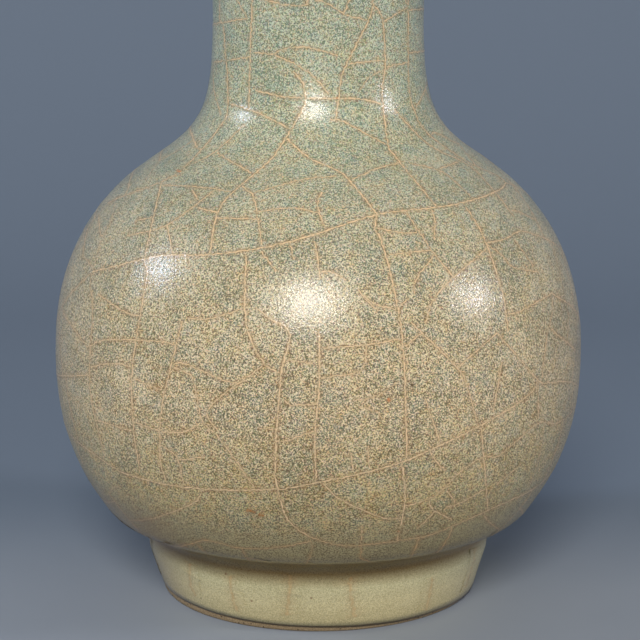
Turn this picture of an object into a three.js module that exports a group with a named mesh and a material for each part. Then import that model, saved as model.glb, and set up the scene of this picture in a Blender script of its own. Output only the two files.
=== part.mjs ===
// Celadon bottle vase: a globe on a foot ring, with a straight neck and a crackled glaze.
// Four thrown stoneware sections are luted together with slip, and three coats of glaze cover them.
// Millimetres, +Z up. The origin is the centre of the face that the foot rests on.

import * as THREE from "three";

// Outline of the glazed vase
const overallHeight = 232;
const globeRadius = 80;
const equatorHeight = 73.5;
const underClosing = 24.2; // from the crease's corner down to where the globe's outline would close
const underFullness = 2.24; // exponent of that outline: 2 is an ellipse, more is fuller
const shoulderClosing = 12.9; // from the neck's joint up to where the outline would close
const shoulderFullness = 2.25;
const footHeight = 19.8; // up to the crease between foot and globe
const footTopRadius = 53.2;
const footEdgeRadius = 48.9; // where the foot's glaze ends
const bareRimHeight = 1.8; // clay left bare above the resting face
const creaseSpread = 6.3; // how far above the crease its corner runs
const neckJointHeight = 132.3; // where the shoulder's curve turns up into the neck
const neckSweepHeight = 47; // of the concave curve from shoulder to neck
const neckSweepPull = 0.62; // share of that curve's span over which it keeps to the neck's line
const neckRadius = 31.3;
const mouthRadius = 35;

// Thicknesses of the clay, the slip and the glaze
const bodyWall = 5.5;
const lipWall = 4;
const floorThickness = 7;
const floorCorner = 9; // height of the soft corner between floor and wall, inside
const footRingWidth = 10.5; // of the ring's luted upper face
const footRestRadius = 46.7; // outside of the resting face
const footRestWidth = 4.6;
const restEdgeRound = 0.9;
const slipThickness = 0.8;
const glazeThickness = 1.1;
const baseGlazeEdge = 3; // height of the recess glaze's edge above the resting face
const fusedGap = 0.1; // keeps a coat of glaze and the clay under it apart as solids

// Facets round the axis, and along each stretch of an outline
const turns = 48;
const footSteps = 3;
const creaseSteps = 2;
const underSteps = 6;
const shoulderSteps = 6;
const sweepSteps = 6;
const neckSteps = 3;
const lipSteps = 4;
const floorCornerSteps = 4;

const point = (radius, height) => new THREE.Vector2(radius, height);
const up = point(0, 1);
const softPull = 0.4; // share of a soft curve's span over which it keeps to the way of its end
const creaseTop = footHeight + creaseSpread;
const underReach = equatorHeight - creaseTop + underClosing;
const shoulderReach = neckJointHeight - equatorHeight + shoulderClosing;

// The globe's outline, by an angle that is 0 at the equator and a quarter turn where it would close.
class GlobeCurve extends THREE.Curve {
  constructor(fromHeight, toHeight) {
    super();
    this.from = this.angleAt(fromHeight);
    this.to = this.angleAt(toHeight);
  }

  half(above) {
    return above ? [shoulderReach, shoulderFullness] : [underReach, underFullness];
  }

  angleAt(height) {
    const rise = height - equatorHeight;
    const [reach, fullness] = this.half(rise > 0);
    return Math.sign(rise) * Math.asin((Math.abs(rise) / reach) ** (fullness / 2));
  }

  getPoint(t, target = new THREE.Vector2()) {
    const angle = THREE.MathUtils.lerp(this.from, this.to, t);
    const [reach, fullness] = this.half(angle > 0);
    const rise = reach * Math.abs(Math.sin(angle)) ** (2 / fullness);
    const radius = globeRadius * Math.cos(angle) ** (2 / fullness);
    return target.set(radius, equatorHeight + Math.sign(angle) * rise);
  }
}

// A soft curve between two points that sets off and arrives in the given directions.
function softCurve(start, startWay, end, endWay, endPull = softPull) {
  const span = start.distanceTo(end);
  const leaving = start.clone().addScaledVector(startWay, softPull * span);
  const arriving = end.clone().addScaledVector(endWay, -endPull * span);
  return new THREE.CubicBezierCurve(start, leaving, arriving, end);
}

// Stations along a curve: each has its place, the way along the outline and the way out of the clay.
function stationsOn(curve, steps) {
  return Array.from({ length: steps + 1 }, (_, i) => {
    const along = curve.getTangent(i / steps);
    return { at: curve.getPoint(i / steps), along, out: point(along.y, -along.x) };
  });
}

// The outside of the glaze, stretch by stretch from the foot to the inside of the lip
const clayDepth = glazeThickness + fusedGap;
const lipThickness = lipWall + 2 * clayDepth;
const lipHeight = overallHeight - lipThickness / 2;
const footEdge = point(footEdgeRadius, bareRimHeight);
const footTop = point(footTopRadius, footHeight);
const neckStart = point(neckRadius, neckJointHeight + neckSweepHeight);
const mouthEdge = point(mouthRadius, lipHeight);
const footLean = footTop.clone().sub(footEdge).normalize();
const underCurve = new GlobeCurve(creaseTop, equatorHeight);
const shoulderCurve = new GlobeCurve(equatorHeight, neckJointHeight);
const creaseCurve = softCurve(footTop, up, underCurve.getPoint(0), underCurve.getTangent(0));
const sweepCurve = softCurve(
  shoulderCurve.getPoint(1),
  shoulderCurve.getTangent(1),
  neckStart,
  up,
  neckSweepPull,
);
const lipCentre = point(mouthRadius - lipThickness / 2, lipHeight);
const lipCurve = new THREE.EllipseCurve(
  lipCentre.x,
  lipCentre.y,
  lipThickness / 2,
  lipThickness / 2,
  0,
  Math.PI,
);

const foot = stationsOn(softCurve(footEdge, footLean, footTop, up), footSteps);
const crease = stationsOn(creaseCurve, creaseSteps);
const under = stationsOn(underCurve, underSteps);
const shoulder = stationsOn(shoulderCurve, shoulderSteps);
const sweep = stationsOn(sweepCurve, sweepSteps);
const neck = stationsOn(softCurve(neckStart, up, mouthEdge, up), neckSteps);
const lip = stationsOn(lipCurve, lipSteps);

// Places at one depth, or at a depth worked out for each station, under the outside of the glaze.
function placesUnder(stations, depth) {
  const depthAt = typeof depth === "function" ? depth : () => depth;
  return stations.map((s) => s.at.clone().addScaledVector(s.out, -depthAt(s)));
}

// The clay thins from the neck's joint to the lip.
function wallAt({ at }) {
  const share = (at.y - neckJointHeight) / (lipHeight - neckJointHeight);
  return THREE.MathUtils.lerp(bodyWall, lipWall, THREE.MathUtils.clamp(share, 0, 1));
}
const innerDepth = (station) => clayDepth + wallAt(station);

// Half the slip's thickness before or after a joint, so that the cut is square to the wall.
function besideJoint(joint, side) {
  const at = joint.at.clone().addScaledVector(joint.along, (side * slipThickness) / 2);
  return { ...joint, at };
}
const footJoint = { at: footTop, along: up, out: point(1, 0) };
const equatorJoint = under.at(-1);
const neckJoint = shoulder.at(-1);

// The inside of the wall from some stations down to the middle of the floor.
function downToFloor(stations, depth, floorHeight) {
  const wall = placesUnder(stations, depth).filter((p) => p.y > floorHeight + floorCorner);
  const wallFoot = wall[0];
  const turn = new THREE.QuadraticBezierCurve(
    wallFoot,
    point(wallFoot.x - floorCorner / 2, floorHeight),
    point(wallFoot.x - 2 * floorCorner, floorHeight),
  );
  return [...wall.reverse(), ...turn.getPoints(floorCornerSteps).slice(1), point(0, floorHeight)];
}

// Materials
const stoneware = new THREE.MeshStandardMaterial({ color: 0x9c7758, roughness: 0.9 });
const slip = new THREE.MeshStandardMaterial({ color: 0x86644a, roughness: 0.95 });
const crackledGlaze = new THREE.MeshStandardMaterial({ color: 0x979b82, roughness: 0.22 });
const plainGlaze = new THREE.MeshStandardMaterial({ color: 0x8fa096, roughness: 0.2 });

// A solid turned about the vase's axis. A profile that doesn't reach the axis closes on itself.
function turned(name, material, profile) {
  const closed = profile[0].x > 0 ? [...profile, profile[0]] : profile;
  const geometry = new THREE.LatheGeometry(closed, turns).rotateX(Math.PI / 2);
  const mesh = new THREE.Mesh(geometry, material);
  mesh.name = name;
  return mesh;
}

// A ring of slip that fills a joint from one depth to another
function slipRing(name, joint, outerDepth, innerDepth) {
  const ends = [besideJoint(joint, -1), besideJoint(joint, 1)];
  const inner = placesUnder(ends, innerDepth).reverse();
  return turned(name, slip, [...placesUnder(ends, outerDepth), ...inner]);
}

// Clay sections, from the foot up
const lutedDepth = clayDepth + footRingWidth;
const ringInside = footTopRadius - lutedDepth;
const restInside = footRestRadius - footRestWidth;
const ringTop = besideJoint(footJoint, -1);
const footRing = turned("foot_ring", stoneware, [
  point(footRestRadius - restEdgeRound, 0),
  point(footRestRadius, restEdgeRound / 2),
  ...placesUnder([...foot.slice(0, -1), ringTop], clayDepth),
  ...placesUnder([ringTop], lutedDepth),
  point(restInside, restEdgeRound),
  point(restInside + restEdgeRound, 0),
]);

const floorUnderside = besideJoint(footJoint, 1).at.y;
const floorTop = floorUnderside + floorThickness;
const lowerStations = [...crease.slice(1, -1), ...under.slice(0, -1), besideJoint(equatorJoint, -1)];
const lowerBody = turned("lower_body", stoneware, [
  point(0, floorUnderside),
  ...placesUnder([besideJoint(footJoint, 1), ...lowerStations], clayDepth),
  ...downToFloor(lowerStations, innerDepth, floorTop),
]);

const upperStations = [
  besideJoint(equatorJoint, 1),
  ...shoulder.slice(1, -1),
  besideJoint(neckJoint, -1),
];
const upperBody = turned("upper_body", stoneware, [
  ...placesUnder(upperStations, clayDepth),
  ...placesUnder(upperStations, innerDepth).reverse(),
]);

const neckStations = [besideJoint(neckJoint, 1), ...sweep.slice(1, -1), ...neck];
const neckSection = turned("neck", stoneware, [
  ...placesUnder(neckStations, clayDepth),
  ...placesUnder(lip.slice(1, -1), clayDepth),
  ...placesUnder(neckStations, innerDepth).reverse(),
]);

// Glaze: one coat outside and over the lip, one inside, and one in the recess under the floor
const outside = [
  ...foot,
  ...crease.slice(1),
  ...under.slice(1),
  ...shoulder.slice(1),
  ...sweep.slice(1),
  ...neck.slice(1),
];
const outerCoat = [...outside, ...lip.slice(1)];
const outerGlaze = turned("outer_glaze", crackledGlaze, [
  ...placesUnder(outerCoat, 0),
  ...placesUnder(outerCoat, glazeThickness).reverse(),
]);

const liningTop = { at: point(mouthRadius, lipHeight - fusedGap), along: up, out: point(1, 0) };
const insideWall = [...outside.slice(foot.length + crease.length - 1, -1), liningTop];
const innerFace = (extra) => (station) => innerDepth(station) + extra;
const liningDepth = fusedGap + glazeThickness;
const innerGlaze = turned("inner_glaze", plainGlaze, [
  ...downToFloor(insideWall, innerFace(fusedGap), floorTop + fusedGap).reverse(),
  ...downToFloor(insideWall, innerFace(liningDepth), floorTop + liningDepth),
]);

const recessTop = floorUnderside - fusedGap;
const recessWall = ringInside - fusedGap;
const edgeWall = recessWall - (ringInside - restInside) * (1 - baseGlazeEdge / footHeight);
const baseGlaze = turned("base_glaze", plainGlaze, [
  point(0, recessTop - glazeThickness),
  point(recessWall - 2 * glazeThickness, recessTop - glazeThickness),
  point(recessWall - glazeThickness, recessTop - 2 * glazeThickness),
  point(edgeWall - glazeThickness, baseGlazeEdge),
  point(edgeWall, baseGlazeEdge),
  point(recessWall, recessTop),
  point(0, recessTop),
]);

const vase = new THREE.Group();
vase.add(
  footRing,
  slipRing("foot_slip", footJoint, clayDepth, lutedDepth),
  lowerBody,
  slipRing("equator_slip", equatorJoint, clayDepth, innerDepth),
  upperBody,
  slipRing("neck_slip", neckJoint, clayDepth, innerDepth),
  neckSection,
  outerGlaze,
  innerGlaze,
  baseGlaze,
);
export default vase;
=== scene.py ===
# Celadon bottle vase, dressed from the clay outwards around its packed construction.
# Metres, +Z up, the foot's resting face at height 0 and the vase's front towards -Y.

import math
import random

import bpy
import numpy as np
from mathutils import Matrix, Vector, noise
from mathutils.bvhtree import BVHTree


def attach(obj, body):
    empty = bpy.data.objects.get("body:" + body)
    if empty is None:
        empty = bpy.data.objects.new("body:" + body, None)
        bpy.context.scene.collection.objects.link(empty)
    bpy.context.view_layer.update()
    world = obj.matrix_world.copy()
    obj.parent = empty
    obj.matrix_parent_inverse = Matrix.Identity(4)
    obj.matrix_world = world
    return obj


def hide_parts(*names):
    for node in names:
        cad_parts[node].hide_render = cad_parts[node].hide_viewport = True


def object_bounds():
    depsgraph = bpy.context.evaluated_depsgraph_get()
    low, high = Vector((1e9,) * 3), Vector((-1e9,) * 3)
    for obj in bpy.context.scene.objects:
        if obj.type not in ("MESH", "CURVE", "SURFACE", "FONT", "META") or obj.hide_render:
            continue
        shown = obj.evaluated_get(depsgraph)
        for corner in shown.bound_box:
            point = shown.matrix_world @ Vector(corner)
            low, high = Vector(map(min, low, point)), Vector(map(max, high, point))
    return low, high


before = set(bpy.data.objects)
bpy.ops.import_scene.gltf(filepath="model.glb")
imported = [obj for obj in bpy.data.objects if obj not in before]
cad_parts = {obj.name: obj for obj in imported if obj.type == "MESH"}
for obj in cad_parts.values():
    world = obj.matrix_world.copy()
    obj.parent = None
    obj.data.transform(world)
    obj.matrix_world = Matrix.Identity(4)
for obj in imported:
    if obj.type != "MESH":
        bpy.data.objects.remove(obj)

cad_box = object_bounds()

# Viewpoint
# Where the photograph was taken from: a long lens that looks a little down on the shoulder. The camera
# stands here, and the cracks seen in the photograph are found again along its rays.

mm = 0.001
eye = Vector((0, -600 * mm, 207 * mm))
eye_pitch = math.radians(11.7)  # below level
picture_side = 640  # pixels, of the photograph's frame
eye_distance = 2000  # pixels, from the eye to the picture
axis_column = 318.2  # pixels, where the vase's axis stands in the picture


def sight(column, row):
    """The way from the eye through a spot of the photograph's frame."""
    across = (column - axis_column) / eye_distance
    over = (picture_side / 2 - row) / eye_distance
    ahead = Vector((0, math.cos(eye_pitch), -math.sin(eye_pitch)))
    upward = Vector((0, math.sin(eye_pitch), math.cos(eye_pitch)))
    return (ahead + across * Vector((1, 0, 0)) + over * upward).normalized()


# Clay
# Four thrown sections of iron-bearing stoneware, joined with slip at the foot, the widest turn and
# the neck's root. Glaze covers all but the foot ring's rim, which is turned clean and fires brown.

wheel_hub = 10 * mm  # radius of the rail that an outline is swept along
wheel_steps = 240
weld = 0.001 * mm  # points closer than this are one
ring_stretch = (0.3, 0.3, 1)  # the marks of throwing run round the wall
edge_waves = {"Scale": 1.7, "Detail": 3.0, "Roughness": 0.6}  # of a glaze's edge as it goes round
outline_spacing = 2.4 * mm
outline_bend = math.radians(6)  # the most an outline turns between two of its points
sharp_corner = math.radians(60)  # the least turn that counts as a corner in an outline
flat_face_share = 0.8  # a span so much longer than its neighbour is a flat face beside a round
clay_grain = 0.35  # millimetres, of the sand in the clay
sand_relief = 0.06 * mm
sand_steps = (0.32, 0.5, 0.7)  # of the sand's noise, where it is dark, middling and pale
clay_tones = ("#6f5c43", "#998465", "#b8a281")
slip_tones = ("#5c4230", "#86644a", "#a5815f")
speck_spacing = 1.4  # millimetres, between the iron specks
iron_speck = ("#3a281c", (0.12, 0.22), (1.0, 0.0))  # a tint, as tinted takes it
rim_radius = 48.3 * mm  # of the bare rim, which stands out level with the glaze
rim_round = 0.8 * mm
rim_lean = 0.6 * mm
rim_top = 3 * mm  # the clay runs up behind the glaze's edge to here


def linear(colour):
    """A colour written as sRGB hex, as linear red, green, blue and alpha."""
    shares = [int(colour[i : i + 2], 16) / 255 for i in (1, 3, 5)]
    return (*[s / 12.92 if s <= 0.04045 else ((s + 0.055) / 1.055) ** 2.4 for s in shares], 1)


def add(tree, kind, inputs=(), stops=(), **settings):
    """Adds a node with its settings. An input in use is named or comes in order, and takes a value, a
    hex colour, a socket or another node's first output in use. Stops are a ramp's places and colours."""
    made = tree.nodes.new(kind)
    for name, value in settings.items():
        setattr(made, name, value)
    for i, (place, colour) in enumerate(stops):
        elements = made.color_ramp.elements
        stop = elements[i] if i < len(elements) else elements.new(place)
        stop.position = place
        stop.color = linear(colour)
    used = [s for s in made.inputs if s.enabled]
    for name, value in inputs.items() if isinstance(inputs, dict) else enumerate(inputs):
        socket = used[name] if isinstance(name, int) else next(s for s in used if s.name == name)
        if isinstance(value, bpy.types.Node):
            value = next(s for s in value.outputs if s.enabled)
        if isinstance(value, bpy.types.NodeSocket):
            tree.links.new(value, socket)
        else:
            is_colour = isinstance(value, str) and value.startswith("#")
            socket.default_value = linear(value) if is_colour else value
    return made


def mapped(span, cover):
    """The inputs of a node that takes a value's span to a cover."""
    return dict(zip(("From Min", "From Max", "To Min", "To Max"), (*span, *cover)))


def tinted(tree, colour, tint, value, masks=(), ease="LINEAR"):
    """Lays a tint over a colour. A tint is a colour, the span of the value over which it comes in or
    goes out, and how much it covers at the span's two ends. Masks thin it."""
    over, span, cover = tint
    share = {"Value": value, **mapped(span, cover)}
    share = add(tree, "ShaderNodeMapRange", share, interpolation_type=ease)
    for mask in masks:
        share = add(tree, "ShaderNodeMath", (share, mask), operation="MULTIPLY")
    return add(tree, "ShaderNodeMix", {"Factor": share, "A": colour, "B": over}, data_type="RGBA")


def material(name):
    """A new material with an empty tree, and that tree."""
    made = bpy.data.materials.new(name)
    made.use_nodes = True
    made.node_tree.nodes.clear()
    return made, made.node_tree


def shape_tree(name, sockets):
    """A new Geometry Nodes tree with a geometry in and out and the named inputs between them."""
    tree = bpy.data.node_groups.new(name, "GeometryNodeTree")
    tree.interface.new_socket(name="Geometry", in_out="INPUT", socket_type="NodeSocketGeometry")
    for socket, kind in sockets.items():
        tree.interface.new_socket(name=socket, in_out="INPUT", socket_type="NodeSocket" + kind)
    tree.interface.new_socket(name="Geometry", in_out="OUTPUT", socket_type="NodeSocketGeometry")
    return tree, tree.nodes.new("NodeGroupInput").outputs


def shaped(name, source, tree, sizes):
    """The plain mesh object that a tree makes from a curve or mesh with the given sizes."""
    work = bpy.data.objects.new(name + "_outline", source)
    bpy.context.scene.collection.objects.link(work)
    modifier = work.modifiers.new("shape", "NODES")
    modifier.node_group = tree
    for socket in tree.interface.items_tree:
        if socket.name in sizes:
            modifier[socket.identifier] = sizes[socket.name]
    result = work.evaluated_get(bpy.context.evaluated_depsgraph_get())
    piece = bpy.data.objects.new(name, bpy.data.meshes.new_from_object(result))
    bpy.data.objects.remove(work)
    bpy.context.scene.collection.objects.link(piece)
    return piece


def outline_of(node):
    """A node's outline in the plane of +X and +Z, as (radius, height) points in order."""
    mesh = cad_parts[node].data
    spots = [(round(v.co.x, 7), round(v.co.z, 7)) for v in mesh.vertices]
    in_plane = [abs(v.co.y) < weld and v.co.x > -weld for v in mesh.vertices]
    beside = {}
    for a, b in (e.vertices for e in mesh.edges):
        if in_plane[a] and in_plane[b] and spots[a] != spots[b]:
            beside.setdefault(spots[a], set()).add(spots[b])
            beside.setdefault(spots[b], set()).add(spots[a])
    ends = [s for s in beside if len(beside[s]) == 1]
    walk = [min(ends or beside, key=lambda s: (s[1], s[0]))]
    while len(walk) < len(beside):
        onward = [s for s in beside[walk[-1]] if s not in walk]
        walk.append(min(onward, key=lambda s: -s[0]))
    return [Vector(s) for s in walk], not ends


def eased(points, closed):
    """The smooth line through an outline's points, which keeps its sharp corners and flat faces."""
    count = len(points)
    spans = count if closed else count - 1
    steps = [(points[(i + 1) % count] - points[i]) for i in range(spans)]
    ways = [s.normalized() for s in steps]
    line = []

    def way_at(i):
        before, after = (i - 1) % count, i % count
        inside = closed or 0 < i < count - 1
        if not inside or ways[before].angle(ways[after]) > sharp_corner:
            return None
        share = steps[before].length / (steps[before].length + steps[after].length)
        if max(share, 1 - share) > flat_face_share:
            return ways[before] if share > 0.5 else ways[after]
        return ways[before].lerp(ways[after], share)

    for i in range(spans):
        start, end = points[i], points[(i + 1) % count]
        leave, arrive = way_at(i), way_at(i + 1)
        leave = leave or (2 * ways[i] - arrive if arrive else ways[i])
        arrive = arrive or (2 * ways[i] - leave)
        pull = steps[i].length / 3
        bend = leave.angle(arrive)
        pieces = max(1, round(steps[i].length / outline_spacing), math.ceil(bend / outline_bend))
        for t in (k / pieces for k in range(pieces)):
            a, b = start + leave * pull, end - arrive * pull
            s = 1 - t
            line.append(s**3 * start + 3 * s * s * t * a + 3 * s * t * t * b + t**3 * end)
    return (line if closed else [*line, points[-1]]), closed


def quarter_round(radius, outer, steps):
    """The points of a quarter circle from a level line up to an upright one at the outer distance."""
    turns = [math.radians(90) * step / steps for step in range(steps + 1)]
    return [Vector((outer - radius + radius * math.sin(a), radius * (1 - math.cos(a)))) for a in turns]


def wheel_profile(name, line, closed):
    """An outline as a curve that the wheel tree sweeps: X from the hub outwards, Y downwards."""
    data = bpy.data.curves.new(name, "CURVE")
    data.dimensions = "3D"
    spline = data.splines.new("POLY")
    spline.points.add(len(line) - 1)
    for spot, place in zip(spline.points, line):
        spot.co = (place.x - wheel_hub, -place.y, 0, 1)
    spline.use_cyclic_u = closed
    return data


def wheel_tree():
    """Turns an outline about the axis, with the slight unevenness that throwing leaves in the wall."""
    tree, given = shape_tree(
        "turned on the wheel",
        {
            "Turns": "Int", "Hub": "Float", "Unevenness": "Float", "Ring height": "Float",
            "Edge height": "Float", "Edge wander": "Float", "Edge lean": "Vector", "Seed": "Float",
            "Surface": "Material",
        },
    )
    rail = add(
        tree, "GeometryNodeCurvePrimitiveCircle", {"Resolution": given["Turns"], "Radius": given["Hub"]}
    )
    swept = add(tree, "GeometryNodeCurveToMesh", {"Curve": rail, "Profile Curve": given["Geometry"]})
    whole = add(tree, "GeometryNodeMergeByDistance", {"Geometry": swept, "Distance": weld})
    place = add(tree, "GeometryNodeInputPosition")
    height = add(tree, "ShaderNodeSeparateXYZ", {"Vector": place}).outputs["Z"]
    kept = {"Geometry": whole, "Name": "rise", "Value": height}
    marked = add(tree, "GeometryNodeStoreNamedAttribute", kept)
    scale = add(tree, "ShaderNodeMath", (1.0, given["Ring height"]), operation="DIVIDE")
    squat = add(tree, "ShaderNodeVectorMath", (place, ring_stretch), operation="MULTIPLY")
    rings = {"Vector": squat, "W": given["Seed"], "Scale": scale, "Detail": 1.0}
    rings = add(tree, "ShaderNodeTexNoise", rings, noise_dimensions="4D")
    push = add(tree, "ShaderNodeMath", (rings, 0.5), operation="SUBTRACT")
    push = add(tree, "ShaderNodeMath", (push, given["Unevenness"]), operation="MULTIPLY")
    outward = add(tree, "ShaderNodeVectorMath", (place, (1, 1, 0)), operation="MULTIPLY")
    outward = add(tree, "ShaderNodeVectorMath", (outward,), operation="NORMALIZE")
    uneven = add(tree, "ShaderNodeVectorMath", {"Vector": outward, "Scale": push}, operation="SCALE")
    near_edge = {"Value": height, **mapped((0.0, given["Edge height"]), (1.0, 0.0))}
    near_edge = add(tree, "ShaderNodeMapRange", near_edge, interpolation_type="SMOOTHSTEP")
    run = {"Vector": outward, "W": given["Seed"], **edge_waves}
    run = add(tree, "ShaderNodeTexNoise", run, noise_dimensions="4D")
    run = add(tree, "ShaderNodeMath", (run, 0.5), operation="SUBTRACT")
    run = add(tree, "ShaderNodeMath", (run, given["Edge wander"]), operation="MULTIPLY")
    lean = add(tree, "ShaderNodeVectorMath", (outward, given["Edge lean"]), operation="DOT_PRODUCT")
    run = add(tree, "ShaderNodeMath", (run, lean.outputs["Value"]), operation="ADD")
    run = add(tree, "ShaderNodeMath", (run, near_edge), operation="MULTIPLY")
    settled = add(tree, "ShaderNodeCombineXYZ", {"Z": run})
    moved = add(tree, "ShaderNodeVectorMath", (uneven, settled), operation="ADD")
    moved = add(tree, "GeometryNodeSetPosition", {"Geometry": marked, "Offset": moved})
    smooth = add(tree, "GeometryNodeSetShadeSmooth", {"Geometry": moved})
    dressed = add(tree, "GeometryNodeSetMaterial", {"Geometry": smooth, "Material": given["Surface"]})
    outward_faces = add(tree, "GeometryNodeFlipFaces", {"Mesh": dressed})
    real = add(tree, "GeometryNodeRealizeInstances", {"Geometry": outward_faces})
    add(tree, "NodeGroupOutput", {"Geometry": real})
    return tree


wheel = wheel_tree()
even = {
    "Turns": wheel_steps,
    "Hub": wheel_hub,
    "Unevenness": 0.0,
    "Ring height": 14 * mm,
    "Edge height": 0.1 * mm,
    "Edge wander": 0.0,
    "Edge lean": (0.0, 0.0, 0.0),
    "Seed": 3.0,
}


def turned(name, line, closed, surface, sizes=even):
    """The piece that the wheel makes of an outline."""
    profile = wheel_profile(name + "_outline", line, closed)
    return shaped(name, profile, wheel, {**sizes, "Surface": surface})


def fired_clay(name, tones):
    """Gritty unglazed clay: fine sand in two tones, and iron specks that melt dark."""
    made, tree = material(name)
    place = add(tree, "ShaderNodeTexCoord").outputs["Object"]
    sand = {"Vector": place, "Scale": 1 / (clay_grain * mm), "Detail": 3.0, "Roughness": 0.7}
    sand = add(tree, "ShaderNodeTexNoise", sand)
    tone = add(tree, "ShaderNodeValToRGB", {"Fac": sand}, zip(sand_steps, tones))
    cells = add(tree, "ShaderNodeTexVoronoi", {"Vector": place, "Scale": 1 / (speck_spacing * mm)})
    colour = tinted(tree, tone, iron_speck, cells)
    relief = add(tree, "ShaderNodeBump", {"Strength": 0.6, "Distance": sand_relief, "Height": sand})
    shader = {"Base Color": colour, "Roughness": 0.86, "Normal": relief}
    shader = add(tree, "ShaderNodeBsdfPrincipled", shader)
    add(tree, "ShaderNodeOutputMaterial", {"Surface": shader})
    return made


# Fired stoneware: matt, sandy and brown, because it is turned clean and left unglazed.
stoneware = fired_clay("fired_stoneware", clay_tones)
# Joining slip: the same clay let down with water, finer and darker once fired.
joining_slip = fired_clay("joining_slip", slip_tones)

for node in ("lower_body", "upper_body", "neck", "foot_slip", "equator_slip", "neck_slip"):
    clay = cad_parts[node].data.materials
    clay.clear()
    clay.append(joining_slip if node.endswith("slip") else stoneware)

ring_line, ring_closed = eased(*outline_of("foot_ring"))
under_glaze = next(i for i, p in enumerate(ring_line) if p.y > rim_top)
rim_line = [*quarter_round(rim_round, rim_radius, 4), Vector((rim_radius + rim_lean, rim_top))]
ring_line = [ring_line[0], *rim_line, *ring_line[under_glaze:]]
turned_foot = turned("turned_foot_ring", ring_line, ring_closed, stoneware)
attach(turned_foot, "root")
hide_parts("foot_ring")

# Outer glaze
# One coat of celadon, dipped and fired until it just melts: iron in a reducing fire turns it grey
# green, and undissolved grains of feldspar stay as a dense pale speckle. It pools dark in the crease,
# and painted shade darkens it there and under the globe; painted light makes it paler on the foot.

vase_top = cad_box[1].z
coat_sizes = {
    **even, "Unevenness": 0.16 * mm, "Ring height": 15 * mm,
    "Edge height": 9 * mm,  # how far up the foot the coat follows its edge
    "Edge wander": 1.1 * mm,
    "Edge lean": (-0.8 * mm, 0.25 * mm, 0.0),  # the edge ends higher on the left, lower on the right
}

# The glaze's patterns, each with its size in millimetres and its noise
glaze_patterns = {
    "thickness": (12, {"Roughness": 0.55}),  # patches where the coat is a little thicker
    "calm": (8, {"W": 7.0}),  # patches where the grains melted and the glaze is bluer
    "curds": (0.42, {"Detail": 3.0, "Roughness": 0.7, "Distortion": 0.2}),  # the pale grains
    "warmth": (0.8, {"W": 3.0, "Detail": 1.0}),  # grains that took up more iron
    "grit": (0.22, {"Detail": 1.0}),  # the finest grain that shows
    "hues": (0.42, {"W": 11.0, "Detail": 1.0}),  # the chance tint of each grain
    "clouds": (4, {"W": 17.0, "Detail": 3.0}),  # in which the whole glaze turns towards one tint
    "dimples": (0.6, {"Detail": 0.0}),  # in its glassy skin
}

# Heights in millimetres, with the glaze between the grains, and the grains themselves. Both are painted
# paler on the foot, partly as painted light where the globe shades it, and darker under the globe and in
# the crease, partly where the glaze pools and partly as painted shade.
glaze_ground = [
    (0, "#aea275"), (9, "#d0c291"), (14.5, "#c3bb8f"), (19, "#7c622e"), (23, "#675430"),
    (30, "#7a6a45"), (45, "#887856"), (75, "#8b7d61"), (105, "#8a8673"), (128, "#8c9788"),
    (150, "#97a99a"), (190, "#a0b2a2"), (232, "#9fb1a0"),
]
glaze_grains = [
    (0, "#c2b284"), (9, "#e8dcac"), (14.5, "#d9d1a5"), (19, "#886f39"), (23, "#8d7645"),
    (30, "#b1a375"), (45, "#e3d0a5"), (75, "#fbe8c6"), (105, "#f1e3c4"), (128, "#dfd9c1"),
    (150, "#dfe0c6"), (190, "#dee2cd"), (232, "#d8ddc8"),
]
speckled = (26 * mm, 48 * mm)  # the heights over which it sets in; the foot and the crease stay plain
drift = 16 * mm  # how far the thickness shifts the colours up or down the wall
curd_loss = -0.1  # of the grains, where the coat is thick
grain_edge = (0.43, 0.57)  # of the curds, where a grain starts and where it is whole
grain_rim = "#574a2a"
rim_places = (0.3, 0.4, 0.47, 0.52)  # of the curds, where the dark rim of a grain comes and goes
rim_cover = 0.5
grit_light = (0.78, 1.22)  # from the darkest grit to the lightest
hue_contrast = 1.2
hue_cover = 0.25
cloud_tones = [(0.32, "#a7bcbc"), (0.68, "#c7bba3")]
spot_spacing = 7  # millimetres, between the iron spots
curd_gloss = (0.26, 0.42)  # roughness between the curds and on them
curd_relief = 0.05 * mm
dimple_depth = 0.08 * mm

# Tints over the glaze: the colour, the span over which it comes or goes, and its cover at both ends
calm_teal = ("#84938a", (0.44, 0.66), (0.0, 0.35))
warm_grain = ("#d9a56c", (0.5, 0.66), (0.0, 0.42))
iron_spot = ("#7a4a26", (0.03, 0.07), (0.7, 0.0))
# Painted shade: a dark band just above the bare rim, under the glaze's lower edge
rim_edge_painted_shade = ("#5c3f16", (2.0 * mm, 2.6 * mm), (0.85, 0.0))  # just above the bare rim
thin_glaze = ("#93714c", (-34 * mm, -50 * mm), (0.0, 0.45))  # on the foot's left, where it ran off


def by_height(tree, height, tones):
    """The colour at a height, by tones written with their heights in millimetres."""
    share = add(tree, "ShaderNodeMath", (height, vase_top), operation="DIVIDE")
    stops = [(level * mm / vase_top, tone) for level, tone in tones]
    return add(tree, "ShaderNodeValToRGB", {"Fac": share}, stops)


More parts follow.
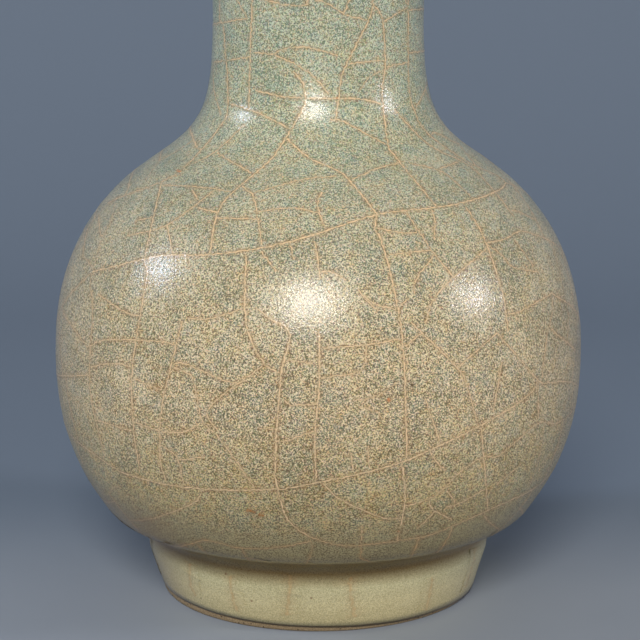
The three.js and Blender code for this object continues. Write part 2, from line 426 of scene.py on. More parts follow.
def celadon(name, stained):
    """The glaze over the whole outside. A stained one is the same glaze along a crack."""
    made, tree = material(name)
    place = add(tree, "ShaderNodeTexCoord").outputs["Object"]
    sides = add(tree, "ShaderNodeSeparateXYZ", {"Vector": place})
    height = sides.outputs["Z"]
    chance = {}
    for pattern, (size, look) in glaze_patterns.items():
        chance[pattern] = add(
            tree, "ShaderNodeTexNoise", {"Vector": place, "Scale": 1 / (size * mm), **look},
            noise_dimensions="4D" if "W" in look else "3D",
        )

    # By height: pale on the foot, partly painted light; dark in the crease and under the globe, partly
    # pooled glaze and partly painted shade; tan over the globe and bluish on the neck
    thickness = add(tree, "ShaderNodeMath", (chance["thickness"], 0.5), operation="SUBTRACT")
    above_foot = {"Value": height, **mapped(speckled, (0.0, 1.0))}
    above_foot = add(tree, "ShaderNodeMapRange", above_foot, interpolation_type="SMOOTHSTEP")
    shift = add(tree, "ShaderNodeMath", (thickness, above_foot), operation="MULTIPLY")
    level = add(tree, "ShaderNodeMath", (shift, drift, height), operation="MULTIPLY_ADD")
    ground, grains = (by_height(tree, level, tones) for tones in (glaze_ground, glaze_grains))
    ground = tinted(tree, ground, calm_teal, chance["calm"], [above_foot], "SMOOTHSTEP")
    grains = tinted(tree, grains, warm_grain, chance["warmth"], [above_foot])

    # Pale grains with dark rims
    curds = (thickness, curd_loss, chance["curds"])
    curds = add(tree, "ShaderNodeMath", curds, operation="MULTIPLY_ADD")
    rim = zip(rim_places, ("#000000", "#ffffff", "#ffffff", "#000000"))
    rim = add(tree, "ShaderNodeValToRGB", {"Fac": curds}, rim)
    for mask in (rim_cover, above_foot):
        rim = add(tree, "ShaderNodeMath", (rim, mask), operation="MULTIPLY")
    rim = {"Factor": rim, "A": ground, "B": grain_rim}
    ground = add(tree, "ShaderNodeMix", rim, data_type="RGBA")
    colour = tinted(tree, ground, (grains, grain_edge, (0.0, 1.0)), curds, ease="SMOOTHSTEP")

    # Chance from grain to grain in light and in tint, and clouds of tint over both
    light = add(tree, "ShaderNodeMapRange", {"Value": chance["grit"], **mapped((0.3, 0.7), grit_light)})
    colour = add(tree, "ShaderNodeHueSaturation", {"Value": light, "Color": colour})
    hues = {"Color": chance["hues"].outputs["Color"], "Contrast": hue_contrast}
    hues = add(tree, "ShaderNodeBrightContrast", hues)
    some = add(tree, "ShaderNodeMath", (above_foot, hue_cover), operation="MULTIPLY")
    clouds = add(tree, "ShaderNodeValToRGB", {"Fac": chance["clouds"]}, cloud_tones)
    for share, over in ((some, hues), (above_foot, clouds)):
        over = {"Factor": share, "A": colour, "B": over}
        colour = add(tree, "ShaderNodeMix", over, data_type="RGBA", blend_type="SOFT_LIGHT")

    # Iron spots, the stain or the painted shade under the glaze's edge, and the thin side of the foot
    cells = add(tree, "ShaderNodeTexVoronoi", {"Vector": place, "Scale": 1 / (spot_spacing * mm)})
    colour = tinted(tree, colour, iron_spot, cells)
    if stained:
        colour = stain(tree, place, height, colour)
    else:
        rise = add(tree, "ShaderNodeAttribute", attribute_name="rise").outputs["Fac"]
        # Painted shade just above the bare rim, where the glaze's edge overhangs it
        colour = tinted(tree, colour, rim_edge_painted_shade, rise, ease="SMOOTHSTEP")
    on_foot = add(tree, "ShaderNodeMath", (1.0, above_foot), operation="SUBTRACT")
    colour = tinted(tree, colour, thin_glaze, sides.outputs["X"], [on_foot], "SMOOTHSTEP")

    # A satin glaze under a glassy skin
    dull = add(tree, "ShaderNodeMapRange", {"Value": chance["curds"], **mapped((0.35, 0.65), curd_gloss)})
    relief = {"Strength": 0.7, "Distance": curd_relief, "Height": chance["curds"]}
    relief = add(tree, "ShaderNodeBump", relief)
    skin = add(tree, "ShaderNodeBump", {"Distance": dimple_depth, "Height": chance["dimples"]})
    shader = {"Base Color": colour, "Roughness": dull, "Normal": relief, "IOR": 1.5}
    shader |= {"Coat Weight": 0.43, "Coat Roughness": 0.06, "Coat Normal": skin}
    shader = add(tree, "ShaderNodeBsdfPrincipled", shader)
    add(tree, "ShaderNodeOutputMaterial", {"Surface": shader})
    return made


# Crackled celadon: a satin glaze whose pale curds break up both its colour and its highlights.
crackled_celadon = celadon("crackled_celadon_glaze", stained=False)

coat_line, coat_closed = eased(*outline_of("outer_glaze"))
coat = turned("celadon_coat", coat_line, coat_closed, crackled_celadon, coat_sizes)
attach(coat, "root")
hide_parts("outer_glaze")

# Crackle
# The glaze shrinks more than the clay as it cools, so it splits into a net of fine cracks, which are
# then stained with tea or iron. They are thin lines that lie in the coat and follow its surface.

crack_step = 1.2 * mm  # between two points of a crack
crack_pixel_step = 4.5  # pixels, between two points of a crack that is seen in the photograph
# Half the width of each kind of crack with its halo, and how strongly it is stained: up to 1 it is
# tan and grows stronger, then it turns orange, rusty and dark
crack_half_width = {
    "strong": 1.55 * mm, "fine": 1.3 * mm, "faint": 1.2 * mm, "soft": 3.4 * mm,
    "spot": 2.2 * mm, "rust": 3.2 * mm, "pinhole": 1.6 * mm,
}
crack_stain = {
    "strong": 1.0, "fine": 0.92, "faint": 0.55, "soft": 0.42,
    "spot": 1.26, "rust": 1.6, "pinhole": 2.0,
}
# By height in millimetres: darker under the globe and in the crease, as painted shade that follows the
# coat's darkening there
crack_tan = [(0, "#e6c088"), (15, "#dcb67c"), (20, "#a0763f"), (28, "#c69f68"), (42, "#f5d8ac")]
tan_place = (0.79, 0.93), (0.0, 1.0)  # where it starts and is whole, from a line's edge to its crown
crack_brown = ("#8a6c42", (0.66, 0.75), (0.0, 0.45))
crack_halo = ("#b8783c", (0.0, 0.75), (0.0, 0.23))
rusty_from = 1.2  # of the stain, where a spot has left the tan behind
# By half the stain: an orange speck, a rusty one and a pinhole
spot_tones = [(0.66, "#dd9562"), (0.78, "#bb7c3c"), (0.84, "#bb7c3c"), (0.96, "#4a3322")]
bead_spacing = 0.9  # millimetres, between the beads of stain along a crack
bead_cover = (0.4, 0.58), (0.45, 1.0)  # of its noise, and of the stain between two beads and on one
crack_spacing = 0.6 * mm  # between two rings of a line's mesh
crack_waver = 0.28 * mm
crack_waver_size = 0.9 * mm
crack_swelling = 2.2  # of the noise that widens and narrows a line
crack_section = 0.035  # of the stained line's height to its half width
crack_start = 23 * mm  # height above the resting face where the net begins, over the foot's crease
crack_clearance = (5.0 * mm, 9.5 * mm)  # from the middle of an unbroken field to its nearest crack
crack_wander = 16  # radians a metre, of the most that a crack bends aside
crack_bend = 0.11  # of the noise that bends a crack, from one of its points to the next
crack_turn_in = 5 * mm  # where a crack begins to turn square to the next one
crack_turn_share = 0.22  # of the whole turn towards it, taken at each step
crack_turn_most = math.radians(80)
crack_longest = 190 * mm
field_tries = 6000
wide_field = 12 * mm  # a field wider than this is split by a strong crack
strong_share, fine_share = 0.2, 0.75  # of the other new cracks, the rest being faint
grazing = 0.13  # share of full face-on below which the photograph shows no crack clearly
squarely = 0.36  # share of full face-on above which it shows all of them
edge_margin = 3 * mm  # under the picture's upper edge
lip_margin = 2.5 * mm  # between the lip and the end of the net
crack_seed = 11

# Routes of the cracks seen in the photograph's frame, as (column, row) from its top left corner
seen_cracks = {
    ("neck", "strong"): [
        [
            (220, 0), (220, 21), (223, 23), (228, 103), (219, 128), (186, 166), (161, 182), (114, 200),
            (102, 210),
        ],
        [(252, 0), (249, 107)],
        [
            (293, 71), (303, 83), (305, 95), (303, 109), (278, 150), (267, 163), (230, 195), (221, 207),
            (215, 221), (210, 253),
        ],
        [(250, 89), (289, 97), (358, 99), (381, 104)],
        [(373, 5), (368, 21), (347, 63), (341, 80), (336, 119)],
        [(373, 5), (378, 9), (383, 23), (385, 67), (382, 92), (388, 144), (394, 155), (436, 206)],
        [(408, 0), (409, 86), (416, 115), (423, 128), (434, 139), (466, 161), (498, 176), (505, 182)],
        [(394, 109), (422, 139), (440, 151), (470, 166), (494, 191), (514, 217)],
    ],
    ("neck", "fine"): [
        [(228, 103), (261, 114), (290, 129)], [(212, 24), (250, 18)], [(211, 57), (214, 62), (250, 57)],
        [(238, 1), (247, 17)], [(269, 1), (286, 5), (304, 5), (321, 1), (347, 15), (367, 20)],
        [(253, 52), (273, 54), (283, 49), (298, 47), (316, 49), (338, 56)],
        [(273, 54), (307, 71), (330, 95)], [(384, 21), (408, 7)], [(347, 64), (384, 60)],
        [(387, 67), (408, 62)], [(409, 10), (422, 9)], [(409, 53), (423, 51)],
        [(330, 119), (344, 122), (385, 144)], [(213, 58), (214, 89), (221, 115)],
        [(425, 90), (415, 110)], [(245, 124), (215, 152), (183, 168)], [(217, 153), (251, 173)],
    ],
    ("neck", "faint"): [[(384, 70), (368, 78), (359, 92)]],
    ("shoulder", "strong"): [
        [
            (92, 272), (160, 256), (205, 255), (262, 248), (310, 236), (377, 215), (452, 205),
            (498, 191), (505, 183),
        ],
        [(287, 139), (308, 157), (338, 171), (349, 180), (377, 214)],
    ],
    ("shoulder", "fine"): [
        [(127, 236), (167, 225), (215, 190)], [(161, 185), (200, 187), (232, 192)],
        [(350, 180), (379, 168), (399, 163)], [(253, 193), (301, 180), (336, 176)],
        [(242, 187), (250, 192), (255, 202), (262, 245)], [(256, 212), (292, 208), (319, 213)],
        [(322, 192), (318, 201), (319, 213), (326, 229)], [(217, 218), (257, 219)],
        [(167, 226), (173, 255)], [(135, 221), (152, 217)], [(199, 208), (218, 213)],
        [(192, 190), (198, 200)], [(409, 163), (438, 170), (452, 179), (470, 196)],
        [(439, 169), (458, 162)], [(75, 289), (92, 272)],
    ],
    ("shoulder", "faint"): [
        [(145, 181), (159, 161)], [(115, 203), (110, 224), (101, 241), (93, 272)],
        [(83, 256), (93, 267)],
    ],
    ("belly", "strong"): [
        [(161, 184), (145, 258), (147, 275), (133, 362), (133, 422), (140, 472)],
        [(246, 253), (245, 311), (251, 340), (265, 364), (279, 373)],
        [(377, 215), (375, 228), (382, 243), (394, 290), (403, 347), (407, 457)],
        [(462, 202), (475, 221), (487, 246), (503, 295), (508, 331)],
        [
            (272, 320), (290, 334), (281, 375), (275, 465), (279, 494), (286, 517), (298, 529),
            (313, 538), (340, 545), (363, 545), (409, 539), (438, 532), (520, 496),
        ],
        [(319, 329), (319, 389), (315, 435), (316, 481)],
    ],
    ("belly", "fine"): [
        [(406, 212), (433, 252), (455, 279)],
        [(172, 367), (186, 372), (194, 382), (200, 415), (206, 426), (220, 439), (255, 488)],
        [(170, 366), (186, 364), (225, 381), (239, 383)], [(487, 248), (438, 293), (425, 324)],
        [(411, 322), (457, 368), (466, 384), (478, 425)], [(458, 367), (497, 333)],
        [(497, 333), (537, 379), (548, 383), (565, 381), (575, 384)],
        [(92, 272), (90, 289), (93, 306), (90, 387), (104, 454)],
        [(182, 321), (162, 406), (160, 447), (161, 465), (166, 480)],
        [(265, 364), (209, 408), (218, 431)], [(186, 318), (209, 319), (246, 307)],
        [(255, 307), (283, 329)], [(88, 347), (106, 340), (158, 341), (175, 345)],
        [(91, 367), (106, 364), (122, 364), (131, 367)], [(133, 378), (161, 390)],
        [(134, 422), (161, 431), (182, 432), (198, 425)], [(96, 420), (135, 432)],
        [(98, 294), (125, 312), (140, 316)], [(312, 236), (316, 248), (320, 279)],
        [(385, 255), (431, 250)], [(376, 228), (406, 233), (417, 232)],
        [(431, 209), (435, 222), (434, 238)], [(434, 255), (416, 280), (414, 294)],
        [(539, 236), (520, 231), (505, 239), (487, 243)], [(514, 239), (534, 267)],
        [(487, 245), (501, 254), (513, 267), (539, 272)], [(508, 314), (519, 312), (552, 293)],
        [(552, 293), (552, 315), (547, 335), (542, 378)], [(502, 361), (493, 412)],
        [(425, 398), (440, 443)], [(321, 348), (363, 345), (399, 339)],
        [(321, 378), (358, 372), (365, 362), (366, 345)], [(284, 360), (318, 364)],
        [(284, 400), (291, 405), (318, 404)], [(261, 251), (276, 272)], [(290, 242), (294, 260)],
        [(320, 272), (332, 272), (347, 281)], [(358, 289), (366, 300), (379, 311)],
        [(360, 293), (375, 304), (396, 308), (408, 298)], [(405, 346), (422, 333)],
        [(67, 319), (88, 348)], [(538, 382), (538, 420)], [(69, 376), (89, 375)],
    ],
    ("belly", "faint"): [[(352, 400), (373, 397), (399, 381)], [(358, 406), (373, 411), (386, 420)]],
    ("lower", "strong"): [
        [
            (83, 446), (113, 467), (130, 475), (170, 485), (221, 490), (278, 489), (300, 486),
            (375, 470), (424, 453), (503, 413), (533, 390), (537, 379),
        ],
        [(402, 463), (405, 500), (397, 540)],
    ],
    ("lower", "fine"): [
        [(481, 427), (488, 510)],
        [
            (405, 506), (423, 501), (439, 493), (461, 471), (485, 456), (498, 456), (535, 425),
            (545, 422), (554, 424), (561, 421),
        ],
        [(323, 482), (331, 492), (345, 502), (384, 518), (401, 518)],
        [(161, 445), (174, 454), (180, 466), (184, 486)], [(178, 460), (205, 457)],
        [(430, 452), (438, 464), (446, 470)], [(276, 441), (289, 440), (314, 431)],
        [(258, 428), (275, 430)], [(208, 540), (242, 548), (279, 547), (311, 541)],
        [(446, 507), (464, 501), (485, 489)], [(446, 491), (455, 501), (454, 507)],
        [(428, 502), (434, 510), (452, 520)], [(417, 529), (436, 510)], [(496, 485), (521, 464)],
        [(362, 525), (360, 563)], [(368, 446), (369, 468)], [(351, 453), (353, 471)],
    ],
    ("lower", "faint"): [[(109, 494), (113, 487), (120, 487)]],
    ("foot", "soft"): [
        [(190, 563), (191, 584), (196, 596)], [(230, 575), (232, 593), (237, 611)],
        [(291, 575), (289, 593), (287, 615)], [(350, 577), (351, 595), (355, 617)],
        [(432, 577), (430, 592), (426, 610)],
    ],
    ("specks", "spot"): [
        [(336, 98), (340, 98)], [(177, 170), (181, 172)], [(387, 399), (391, 401)],
        [(398, 531), (400, 531)],
    ],
    ("specks", "rust"): [[(259, 514), (264, 516)], [(247, 509), (252, 511), (256, 513)]],
    ("specks", "pinhole"): [[(411, 385), (413, 385)]],
}

# The foot's few soft cracks run straight down it.
foot_crack_spacing = 17 * mm
foot_crack_heights = (4.5 * mm, 17.5 * mm)
foot_crack_chance = (0.7, 1.4)  # of the spacing


def along(route, step):
    """A route's spots joined by a smooth curve and taken at even steps."""
    spots = [Vector(spot) for spot in route]
    spots = [2 * spots[0] - spots[1], *spots, 2 * spots[-1] - spots[-2]]
    line = []
    for a, b, c, d in zip(spots, spots[1:], spots[2:], spots[3:]):
        pieces = max(1, round((c - b).length / step))
        for t in (k / pieces for k in range(pieces)):
            curve = 2 * b + (c - a) * t + (2 * a - 5 * b + 4 * c - d) * t * t
            line.append(0.5 * (curve + (3 * b - a - 3 * c + d) * t**3))
    return [*line, spots[-2]]


wall = coat_line[: max(range(len(coat_line)), key=lambda i: coat_line[i].y) + 1]
wall_height = [p.y for p in wall]
wall_radius = [p.x for p in wall]
wall_run = [0.0, *np.cumsum([(b - a).length for a, b in zip(wall, wall[1:])])]
net_start, net_end = np.interp([crack_start, vase_top - lip_margin], wall_height, wall_run)


def wall_spot(run, turn):
    """The place on the coat a distance up its outline and an angle round it."""
    radius = np.interp(run, wall_run, wall_radius)
    return np.array(
        [radius * math.cos(turn), radius * math.sin(turn), np.interp(run, wall_run, wall_height)]
    )


def on_wall(place):
    """How far up the outline and round the coat a place on it is."""
    return np.interp(place[2], wall_height, wall_run), math.atan2(place[1], place[0])


class Net:
    """The cracks so far, as rows of places, and all of their places together."""

    def __init__(self):
        self.cracks = []
        self.places = np.empty((0, 3))

    def take(self, course, kind):
        self.cracks.append((course, kind))
        self.places = np.vstack([self.places, course])

    def nearest(self, place):
        gaps = np.linalg.norm(self.places - place, axis=1)
        closest = int(gaps.argmin())
        return gaps[closest], self.places[closest]

    def grow(self, run, turn, heading, wander, leave):
        """Lets a crack run on from a spot until it meets another or leaves the wall. It goes its own
        way for the first few steps, where it still lies beside the crack that it leaves."""
        course = []
        while len(course) * crack_step < crack_longest:
            radius = np.interp(run, wall_run, wall_radius)
            widening = (np.interp(run + mm, wall_run, wall_radius) - radius) / mm
            aside = noise.noise(Vector((len(course) * crack_bend, wander, 0.0)))
            heading += crack_step * (crack_wander * aside - widening / radius * math.sin(heading))
            run += crack_step * math.cos(heading)
            turn += crack_step * math.sin(heading) / radius
            if not net_start < run < net_end:
                break
            place = wall_spot(run, turn)
            gap, other = self.nearest(place)
            if len(course) >= leave:
                if gap < crack_step:
                    course.append(other)
                    break
                if gap < crack_turn_in:
                    other_run, other_turn = on_wall(other)
                    across = (other_turn - turn + math.pi) % (2 * math.pi) - math.pi
                    towards = math.atan2(across * radius, other_run - run)
                    aside = (towards - heading + math.pi) % (2 * math.pi) - math.pi
                    if abs(aside) < crack_turn_most:
                        heading += crack_turn_share * aside
            course.append(place)
        return course


def heading_of(place, before):
    """The way a crack runs at its end: 0 is up the wall, a quarter turn is round it to the left."""
    run, turn = on_wall(place)
    run_before, turn_before = on_wall(before)
    return math.atan2((turn - turn_before) * math.hypot(place[0], place[1]), run - run_before)


def shown(run, turn):
    """Whether the photograph shows a place on the coat, and shows it squarely enough."""
    place = wall_spot(run, turn)
    climb = wall_spot(run + mm, turn) - wall_spot(run - mm, turn)
    facing = np.cross((-math.sin(turn), math.cos(turn), 0), climb)
    back = np.array(eye) - place
    square = facing @ back / np.linalg.norm(facing) / np.linalg.norm(back)
    return place[2] < photo_top and square > squarely


net = Net()
chance = random.Random(crack_seed)
coat_faces = BVHTree.FromObject(coat, bpy.context.evaluated_depsgraph_get())
photo_top = coat_faces.ray_cast(eye, sight(axis_column, 0))[0].z - edge_margin
for (_, kind), routes in seen_cracks.items():
    for route in routes:
        course = []
        for column, row in along(route, crack_pixel_step):
            way = sight(column, row)
            place, facing, _, _ = coat_faces.ray_cast(eye, way)
            if place and -facing.dot(way) > grazing:
                course.append(np.array(place))
        if len(course) > 1:
            net.take(course, kind)

# A crack that runs out of the picture, or round out of sight, runs on by the rule.
for course, kind in list(net.cracks):
    for end, before in ((course[-1], course[-2]), (course[0], course[1])):
        run, turn = on_wall(end)
        others = [
            np.linalg.norm(np.array(c) - end, axis=1).min() for c, _ in net.cracks if c is not course
        ]
        if kind in ("strong", "fine") and min(others) > 2 * crack_step and not shown(run, turn):
            onward = net.grow(run, turn, heading_of(end, before), chance.uniform(0, 99), 2)
            if onward:
                net.take([end, *onward], kind)

# New cracks split the widest unbroken fields, each from its middle out to the cracks on both sides.
fields = []
while len(fields) < field_tries:
    run, turn = chance.uniform(net_start, net_end), chance.uniform(-math.pi, math.pi)
    if chance.random() * max(wall_radius) < np.interp(run, wall_run, wall_radius) and not shown(run, turn):
        fields.append((run, turn, chance.uniform(*crack_clearance)))
field_places = np.array([wall_spot(run, turn) for run, turn, _ in fields])
field_wants = np.array([want for _, _, want in fields])
field_gaps = np.full(len(fields), np.inf)
counted = 0
while True:
    for course, _ in net.cracks[counted:]:
        for place in course:
            field_gaps = np.minimum(field_gaps, np.linalg.norm(field_places - place, axis=1))
    counted = len(net.cracks)
    widest = int((field_gaps / field_wants).argmax())
    if field_gaps[widest] < field_wants[widest]:
        break
    run, turn, _ = fields[widest]
    heading = heading_of(net.nearest(field_places[widest])[1], field_places[widest])
    wander = chance.uniform(0, 99)  # its place in the noise that bends it
    back = net.grow(run, turn, heading + math.pi, wander, 0)
    course = [*reversed(back), field_places[widest], *net.grow(run, turn, heading, wander + 50, 0)]
    rank = 0 if field_gaps[widest] > wide_field else chance.random()
    net.take(course, "strong" if rank < strong_share else "fine" if rank < fine_share else "faint")

turn = 0.0
while turn < 2 * math.pi - foot_crack_spacing / 2 / wall_radius[0]:
    ends = np.interp(foot_crack_heights, wall_height, wall_run)
    course = [wall_spot(run, turn) for run in np.arange(ends[0], ends[1], crack_step)]
    if not shown(ends[0], turn):
        net.take(course, "soft")
    turn += foot_crack_spacing / wall_radius[0] * chance.uniform(*foot_crack_chance)

crack_mesh = bpy.data.meshes.new("crack_lines")
places = [place for course, _ in net.cracks for place in course]
starts = np.cumsum([0, *[len(course) for course, _ in net.cracks]]).tolist()
pairs = [(i, i + 1) for start, end in zip(starts, starts[1:]) for i in range(start, end - 1)]
crack_mesh.from_pydata(places, pairs, [])
for name, values in (("half_width", crack_half_width), ("stain", crack_stain)):
    data = crack_mesh.attributes.new(name, "FLOAT", "POINT").data
    data.foreach_set("value", [values[kind] for course, kind in net.cracks for _ in course])


def crack_tree():
    """Lays cracks on the coat as low lines, a flat lozenge in section, which waver and swell."""
    tree, given = shape_tree(
        "stained cracks",
        {
            "Coat": "Object", "Spacing": "Float", "Waver": "Float", "Waver size": "Float",
            "Swelling": "Float", "Section": "Float", "Surface": "Material",
        },
    )
    coat_shape = add(tree, "GeometryNodeObjectInfo", {"Object": given["Coat"]}).outputs["Geometry"]
    line = add(tree, "GeometryNodeMeshToCurve", {"Mesh": given["Geometry"]})
    line = {"Curve": line, "Length": given["Spacing"]}
    line = add(tree, "GeometryNodeResampleCurve", line, mode="LENGTH")

    # It wavers at random, is laid back on the coat, and turns its flat side to it
    scale = add(tree, "ShaderNodeMath", (1.0, given["Waver size"]), operation="DIVIDE")
    chance = add(tree, "ShaderNodeTexNoise", {"Scale": scale, "Detail": 2.0}).outputs["Color"]
    waver = add(tree, "ShaderNodeVectorMath", (chance, (0.5, 0.5, 0.5)), operation="SUBTRACT")
    reach = add(tree, "ShaderNodeMath", (given["Waver"], 4.0), operation="MULTIPLY")
    waver = add(tree, "ShaderNodeVectorMath", {"Vector": waver, "Scale": reach}, operation="SCALE")
    line = add(tree, "GeometryNodeSetPosition", {"Geometry": line, "Offset": waver})
    closest = add(tree, "GeometryNodeProximity", (coat_shape,), target_element="FACES")
    line = {"Geometry": line, "Position": closest.outputs["Position"]}
    line = add(tree, "GeometryNodeSetPosition", line)
    facing = {"Mesh": coat_shape, "Value": add(tree, "GeometryNodeInputNormal").outputs["Normal"]}
    facing = add(tree, "GeometryNodeSampleNearestSurface", facing, data_type="FLOAT_VECTOR")
    line = add(tree, "GeometryNodeSetCurveNormal", {"Curve": line, "Normal": facing}, mode="FREE")

    # Its section is a flat lozenge, which knows how far each point is from its edge
    section = add(tree, "GeometryNodeCurvePrimitiveCircle", {"Resolution": 4, "Radius": 1.0})
    flat = add(tree, "ShaderNodeCombineXYZ", {"X": given["Section"], "Y": 1.0, "Z": 1.0})
    section = add(tree, "GeometryNodeTransform", {"Geometry": section, "Scale": flat})
    place = add(tree, "GeometryNodeInputPosition")
    aside = add(tree, "ShaderNodeSeparateXYZ", {"Vector": place}).outputs["Y"]
    aside = add(tree, "ShaderNodeMath", (aside,), operation="ABSOLUTE")
    crown = add(tree, "ShaderNodeMath", (1.0, aside), operation="SUBTRACT")
    section = {"Geometry": section, "Name": "crown", "Value": crown}
    section = add(tree, "GeometryNodeStoreNamedAttribute", section)

    # It swells and thins along its way
    swell = {"W": 5.0, "Scale": scale, "Detail": 1.0}
    swell = add(tree, "ShaderNodeTexNoise", swell, noise_dimensions="4D")
    swell = add(tree, "ShaderNodeMath", (swell, 0.5), operation="SUBTRACT")
    swell = add(tree, "ShaderNodeMath", (swell, given["Swelling"], 1.0), operation="MULTIPLY_ADD")
    width = add(tree, "GeometryNodeInputNamedAttribute", {"Name": "half_width"})
    width = add(tree, "ShaderNodeMath", (width, swell), operation="MULTIPLY")
    swept = {"Curve": line, "Profile Curve": section, "Scale": width, "Fill Caps": True}
    swept = add(tree, "GeometryNodeCurveToMesh", swept)
    faceted = add(tree, "GeometryNodeSetShadeSmooth", {"Geometry": swept, "Shade Smooth": False})
    dressed = {"Geometry": faceted, "Material": given["Surface"]}
    dressed = add(tree, "GeometryNodeSetMaterial", dressed)
    real = add(tree, "GeometryNodeRealizeInstances", {"Geometry": dressed})
    add(tree, "NodeGroupOutput", {"Geometry": real})
    return tree


def stain(tree, place, height, colour):
    """A crack's stain over the glaze: tan and beaded along the middle, brown and thin at the edges."""
    strength = add(tree, "ShaderNodeAttribute", attribute_name="stain").outputs["Fac"]
    crown = add(tree, "ShaderNodeAttribute", attribute_name="crown").outputs["Fac"]
    beads = {"Vector": place, "Scale": 1 / (bead_spacing * mm), "Detail": 2.0}
    beads = add(tree, "ShaderNodeTexNoise", beads)
    beads = add(tree, "ShaderNodeMapRange", {"Value": beads, **mapped(*bead_cover)})
    most = add(tree, "ShaderNodeMath", (strength, 1.0), operation="MINIMUM")
    half = add(tree, "ShaderNodeMath", (strength, 0.5), operation="MULTIPLY")
    rust = add(tree, "ShaderNodeValToRGB", {"Fac": half}, spot_tones)
    rusty = (rust, (1.0, rusty_from), (0.0, 1.0))
    tone = tinted(tree, by_height(tree, height, crack_tan), rusty, strength)
    for tint in (crack_halo, crack_brown, (tone, *tan_place)):
        colour = tinted(tree, colour, tint, crown, [most, beads], "SMOOTHSTEP")
    return colour


# Stained celadon: the glaze again, with iron and tea drawn into the crack, so that it reads orange.
stained_celadon = celadon("stained_celadon_glaze", stained=True)

crackle = shaped(
    "crackle_lines", crack_mesh, crack_tree(),
    {
        "Coat": coat, "Spacing": crack_spacing, "Waver": crack_waver, "Waver size": crack_waver_size,
        "Swelling": crack_swelling, "Section": crack_section, "Surface": stained_celadon,
    },
)
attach(crackle, "root")

# Lining
# The same celadon poured in, swirled round and tipped out, thinner and calmer than outside. It meets
# the outer coat on the lip, and is crackled finely, with no stain worked into it.

lining_tones = [(0.35, "#7b8a7f"), (0.5, "#93a093"), (0.66, "#aab4a2")]  # from between curds to a curd
lining_field = 9  # millimetres, between its cracks
lining_bend = 8 * mm  # how far a crack strays from a straight line
lining_crack = ("#6f7768", (0.0, 0.3 / lining_field), (0.55, 0.0))  # 0.3 mm wide


def plain_celadon_glaze():
    """The calm glaze inside the vase and under its foot: fine curds and a thin grey crackle."""
    made, tree = material("plain_celadon_glaze")
    place = add(tree, "ShaderNodeTexCoord").outputs["Object"]
    curd_spacing = glaze_patterns["curds"][0]
    curds = {"Vector": place, "Scale": 1 / (curd_spacing * mm), "Detail": 3.0, "Roughness": 0.65}
    curds = add(tree, "ShaderNodeTexNoise", curds)
    tone = add(tree, "ShaderNodeValToRGB", {"Fac": curds}, lining_tones)
    bent = {"Vector": place, "Scale": 0.7 / (lining_field * mm), "Detail": 2.0}
    bent = add(tree, "ShaderNodeTexNoise", bent).outputs["Color"]
    bent = {"Vector": bent, "Scale": lining_bend}
    bent = add(tree, "ShaderNodeVectorMath", bent, operation="SCALE")
    bent = add(tree, "ShaderNodeVectorMath", (place, bent), operation="ADD")
    edges = {"Vector": bent, "Scale": 1 / (lining_field * mm)}
    edges = add(tree, "ShaderNodeTexVoronoi", edges, feature="DISTANCE_TO_EDGE")
    colour = tinted(tree, tone, lining_crack, edges)
    relief = add(tree, "ShaderNodeBump", {"Strength": 0.4, "Distance": 0.02 * mm, "Height": curds})
    shader = {"Base Color": colour, "Roughness": 0.28, "Coat Weight": 0.3, "Normal": relief}
    shader = add(tree, "ShaderNodeBsdfPrincipled", shader)
    add(tree, "ShaderNodeOutputMaterial", {"Surface": shader})
    return made


# Plain celadon: calmer, bluer and glossier than the outside, because it cooled out of the fire's way.
plain_celadon = plain_celadon_glaze()

lining = turned("celadon_lining", *eased(*outline_of("inner_glaze")), plain_celadon)
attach(lining, "root")
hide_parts("inner_glaze")

# Base glaze
# The same plain celadon, brushed into the hollow of the foot. It ends short of the resting face, so
# that the vase stood on bare clay in the kiln.

base_coat = turned("celadon_base", *eased(*outline_of("base_glaze")), plain_celadon)
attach(base_coat, "root")
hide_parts("base_glaze")

# Studio
# A plain pale sweep, three soft lamps that leave the three highlights on the globe and on the neck,
# and a sky that brightens upwards. The camera looks a little down on the shoulder.

camera_data = bpy.data.cameras.new("camera")
camera_data.sensor_width = 36
camera_data.lens = camera_data.sensor_width * eye_distance / picture_side
camera_data.shift_x = 0.5 - axis_column / picture_side
camera_data.clip_start = 10 * mm
camera = bpy.data.objects.new("camera", camera_data)
camera.location = eye
camera.rotation_euler = (math.radians(90) - eye_pitch, 0, 0)
bpy.context.scene.collection.objects.link(camera)
bpy.context.scene.camera = camera

lamp_reach = 2.6  # metres, from the vase's middle to each lamp
vase_middle = Vector((0, 0, 90 * mm))
for name, round_it, above, width, power, tint in [  # degrees, metres and watts
    ("lamp_left", -86, 30, 0.53, 15.0, "#e3ecff"),
    ("lamp_front", -4.5, 32.0, 0.92, 41.5, "#fffaf2"),
    ("lamp_right", 75.5, 21.5, 0.48, 13.7, "#fbf8ff"),
]:
    azimuth, elevation = math.radians(round_it), math.radians(above)
    outward = Vector((math.sin(azimuth), -math.cos(azimuth), 0))
    way = outward * math.cos(elevation) + Vector((0, 0, math.sin(elevation)))
    lamp_data = bpy.data.lights.new(name, "AREA")
    lamp_data.shape = "DISK"
    lamp_data.size = width
    lamp_data.energy = power
    lamp_data.color = linear(tint)[:3]
    lamp = bpy.data.objects.new(name, lamp_data)
    lamp.location = vase_middle + way * lamp_reach
    lamp.rotation_euler = way.to_track_quat("Z", "Y").to_euler()
    bpy.context.scene.collection.objects.link(lamp)

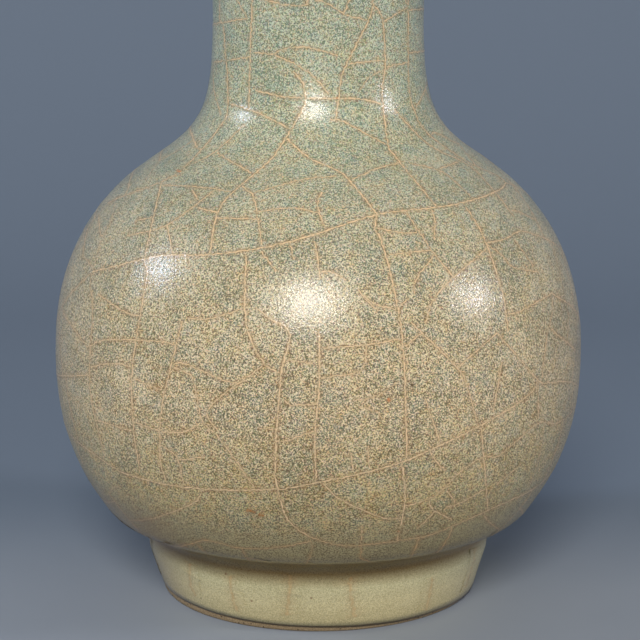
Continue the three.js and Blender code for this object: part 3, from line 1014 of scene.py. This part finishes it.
sky_white = "#e6eaf0"
sky_strength = (0.12, 0.34)  # at the horizon and overhead
sky_mirrored = 0.3  # of it that the glaze mirrors
world = bpy.data.worlds.new("pale_sky")
world.use_nodes = True
sky = world.node_tree
sky.nodes.clear()
upward = add(sky, "ShaderNodeTexCoord").outputs["Generated"]
climb = add(sky, "ShaderNodeSeparateXYZ", {"Vector": upward}).outputs["Z"]
level = add(sky, "ShaderNodeMapRange", {"Value": climb, **mapped((0.0, 1.0), sky_strength)})
mirrored = add(sky, "ShaderNodeLightPath").outputs["Is Glossy Ray"]
mirrored = {"Value": mirrored, **mapped((0.0, 1.0), (1.0, sky_mirrored))}
mirrored = add(sky, "ShaderNodeMapRange", mirrored)
level = add(sky, "ShaderNodeMath", (level, mirrored), operation="MULTIPLY")
glow = add(sky, "ShaderNodeBackground", {"Color": sky_white, "Strength": level})
add(sky, "ShaderNodeOutputWorld", {"Surface": glow})
bpy.context.scene.world = world

# Painted board: matt and pale, with a faint mottling so that it reads as a surface. From its
# back it can't be seen, so the vase can be looked at from behind and from below as well.
board_tones = [(0.3, "#959eab"), (0.7, "#9ca5b1")]  # of its mottling
board_mottle = 9.0  # patches a metre
board_far = ("#768393", (-0.03, 0.1), (0.0, 1.0))  # metres behind the vase where it turns darker
board_paint, board = material("pale_painted_board")
place = add(board, "ShaderNodeTexCoord").outputs["Object"]
mottle = add(board, "ShaderNodeTexNoise", {"Vector": place, "Scale": board_mottle, "Detail": 4.0})
paint = add(board, "ShaderNodeValToRGB", {"Fac": mottle}, board_tones)
depth = add(board, "ShaderNodeSeparateXYZ", {"Vector": place}).outputs["Y"]
paint = tinted(board, paint, board_far, depth, ease="SMOOTHSTEP")
matt = add(board, "ShaderNodeBsdfPrincipled", {"Base Color": paint, "Roughness": 0.7})
clear = add(board, "ShaderNodeBsdfTransparent")
behind = add(board, "ShaderNodeNewGeometry").outputs["Backfacing"]
surface = add(board, "ShaderNodeMixShader", (behind, matt, clear))
add(board, "ShaderNodeOutputMaterial", {"Surface": surface})

# Metres: how far it reaches to the front, to the back and to each side, its bend and its height
sweep_front, sweep_back, sweep_half, sweep_bend, sweep_top = -1.6, 0.9, 2.4, 0.5, 2.6
side_view = [Vector((sweep_front, 0)), *quarter_round(sweep_bend, sweep_back, 16)]
side_view.append(Vector((sweep_back, sweep_top)))
sweep_mesh = bpy.data.meshes.new("sweep")
corners = [(x, p.x, p.y) for p in side_view for x in (-sweep_half, sweep_half)]
faces = [(2 * i, 2 * i + 1, 2 * i + 3, 2 * i + 2) for i in range(len(side_view) - 1)]
sweep_mesh.from_pydata(corners, [], faces)
sweep_mesh.materials.append(board_paint)
sweep_mesh.shade_smooth()
sweep = bpy.data.objects.new("sweep", sweep_mesh)
bpy.context.scene.collection.objects.link(sweep)

bpy.context.scene.view_settings.view_transform = "Standard"
